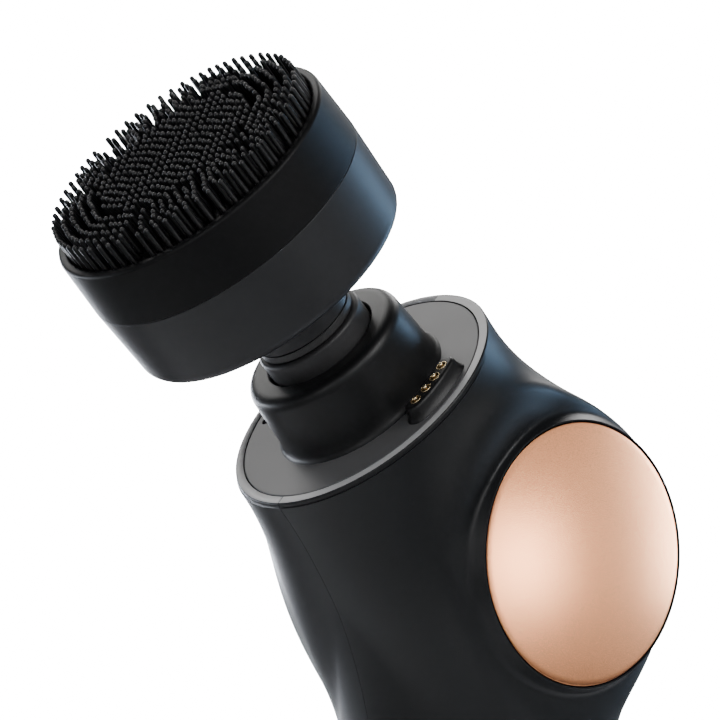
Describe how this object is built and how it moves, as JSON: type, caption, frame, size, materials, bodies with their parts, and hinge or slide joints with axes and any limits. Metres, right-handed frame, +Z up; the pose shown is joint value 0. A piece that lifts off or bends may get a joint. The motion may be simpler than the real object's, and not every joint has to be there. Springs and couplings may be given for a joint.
{
  "type": "facial cleansing brush",
  "caption": "Handheld facial cleansing brush with an angled percussion head, a pull-off round silicone bristle head and domed metallic side discs.",
  "frame": {"origin": "centre of the flat foot under the handle", "axes": "+Z up the handle, -Y the way the brush points, X across the two side discs"},
  "size_m": [0.0524, 0.1015, 0.1606],
  "materials": {
    "soft_touch_body": "soft-touch satin charcoal",
    "base_plastic": "fine-textured",
    "seal_rubber": "matte",
    "plate_grey": "matte grey",
    "collar_black": "satin",
    "rose_gold": "bead-blasted rose gold",
    "gold_contact": "gold plated",
    "frame_nylon": "glass-filled nylon",
    "bronze": "sintered bronze",
    "spindle_black": "satin",
    "magnet_nickel": "nickel plated",
    "steel": "ground",
    "cast_frame": "glass-filled nylon",
    "lamination_steel": "laminated",
    "copper_wire": "enamelled copper",
    "dark_screw": "black oxide",
    "circuit_board": "solder mask",
    "chip_black": "moulded",
    "cell_wrap": "shrink wrap",
    "display_glass": "smoked gloss",
    "button_rubber": "soft matte",
    "brush_plastic": "satin",
    "hub_gloss": "satin gloss",
    "silicone_black": "satin silicone"
  },
  "bodies": {
    "handpiece": {"base_cap": "base_plastic", "base_screws": "dark_screw", "battery_cell": "cell_wrap", "battery_cradle": "frame_nylon", "board_components": "chip_black", "charge_contacts": "gold_contact", "chassis": "cast_frame", "chassis_screws": "dark_screw", "collar": "collar_black", "contact_barrels": "gold_contact", "display_module": "chip_black", "display_window": "display_glass", "drive_board": "circuit_board", "drive_components": "chip_black", "foot_pad": "seal_rubber", "guide_bush": "bronze", "guide_frame": "frame_nylon", "left_disc_gasket": "seal_rubber", "left_gold_disc": "rose_gold", "left_shell": "soft_touch_body", "main_board": "circuit_board", "motor_bearings": "steel", "plate_gasket": "seal_rubber", "right_disc_gasket": "seal_rubber", "right_gold_disc": "rose_gold", "right_shell": "soft_touch_body", "stator_core": "lamination_steel", "stator_windings": "copper_wire", "tact_switches": "chip_black", "top_plate": "plate_grey", "wiper_seal": "seal_rubber"},
    "spindle": {"spindle_head": "spindle_black", "spindle_magnet": "magnet_nickel", "spindle_rod": "steel", "yoke": "steel", "yoke_cross_pin": "steel"},
    "crank": {"motor_shaft": "steel", "crank_wheel": "steel", "crank_pin": "steel", "pin_roller": "steel", "counterweight": "bronze", "rotor_bell": "steel", "rotor_magnets": "magnet_nickel"},
    "brush_head": {"brush_housing": "brush_plastic", "hub_ring": "hub_gloss", "hub_magnet": "magnet_nickel", "brush_pad": "silicone_black", "bristle_field": "silicone_black", "pad_support": "frame_nylon", "pad_clamp_ring": "frame_nylon", "brush_screws": "dark_screw"},
    "top_button": {"top_button": "button_rubber"},
    "power_button": {"power_button": "button_rubber"},
    "bottom_button": {"bottom_button": "button_rubber"},
    "contact_pin_1": {"contact_pin_1": "gold_contact"},
    "contact_pin_2": {"contact_pin_2": "gold_contact"},
    "contact_pin_3": {"contact_pin_3": "gold_contact"},
    "contact_pin_4": {"contact_pin_4": "gold_contact"}
  },
  "joints": [
    {"name": "crank_turn", "type": "hinge", "parent": "handpiece", "child": "crank", "pos_m": [0, 0, 0.082], "axis": [1, 0, 0], "range_deg": [0, 180]},
    {"name": "percussion", "type": "slide", "parent": "handpiece", "child": "spindle", "axis": [0, -0.7071, 0.7071], "range_m": [0, 0.003]},
    {"name": "brush_pull", "type": "slide", "parent": "spindle", "child": "brush_head", "axis": [0, -0.7071, 0.7071], "range_m": [0, 0.03]},
    {"name": "top_press", "type": "slide", "parent": "handpiece", "child": "top_button", "axis": [0, -1, 0], "range_m": [0, 0.0005], "stiffness_N_per_m": 600, "springref_m": -0.0005},
    {"name": "power_press", "type": "slide", "parent": "handpiece", "child": "power_button", "axis": [0, -1, 0], "range_m": [0, 0.0005], "stiffness_N_per_m": 600, "springref_m": -0.0005},
    {"name": "bottom_press", "type": "slide", "parent": "handpiece", "child": "bottom_button", "axis": [0, -1, 0], "range_m": [0, 0.0005], "stiffness_N_per_m": 600, "springref_m": -0.0005},
    {"name": "contact_1_press", "type": "slide", "parent": "handpiece", "child": "contact_pin_1", "axis": [0, 0.7071, -0.7071], "range_m": [0, 0.0007], "stiffness_N_per_m": 300, "springref_m": -0.0007},
    {"name": "contact_2_press", "type": "slide", "parent": "handpiece", "child": "contact_pin_2", "axis": [0, 0.7071, -0.7071], "range_m": [0, 0.0007], "stiffness_N_per_m": 300, "springref_m": -0.0007},
    {"name": "contact_3_press", "type": "slide", "parent": "handpiece", "child": "contact_pin_3", "axis": [0, 0.7071, -0.7071], "range_m": [0, 0.0007], "stiffness_N_per_m": 300, "springref_m": -0.0007},
    {"name": "contact_4_press", "type": "slide", "parent": "handpiece", "child": "contact_pin_4", "axis": [0, 0.7071, -0.7071], "range_m": [0, 0.0007], "stiffness_N_per_m": 300, "springref_m": -0.0007}
  ],
  "couplings": [
    {"joint": "crank_turn", "follows": "percussion", "rad_per_m": 1047.2}
  ]
}
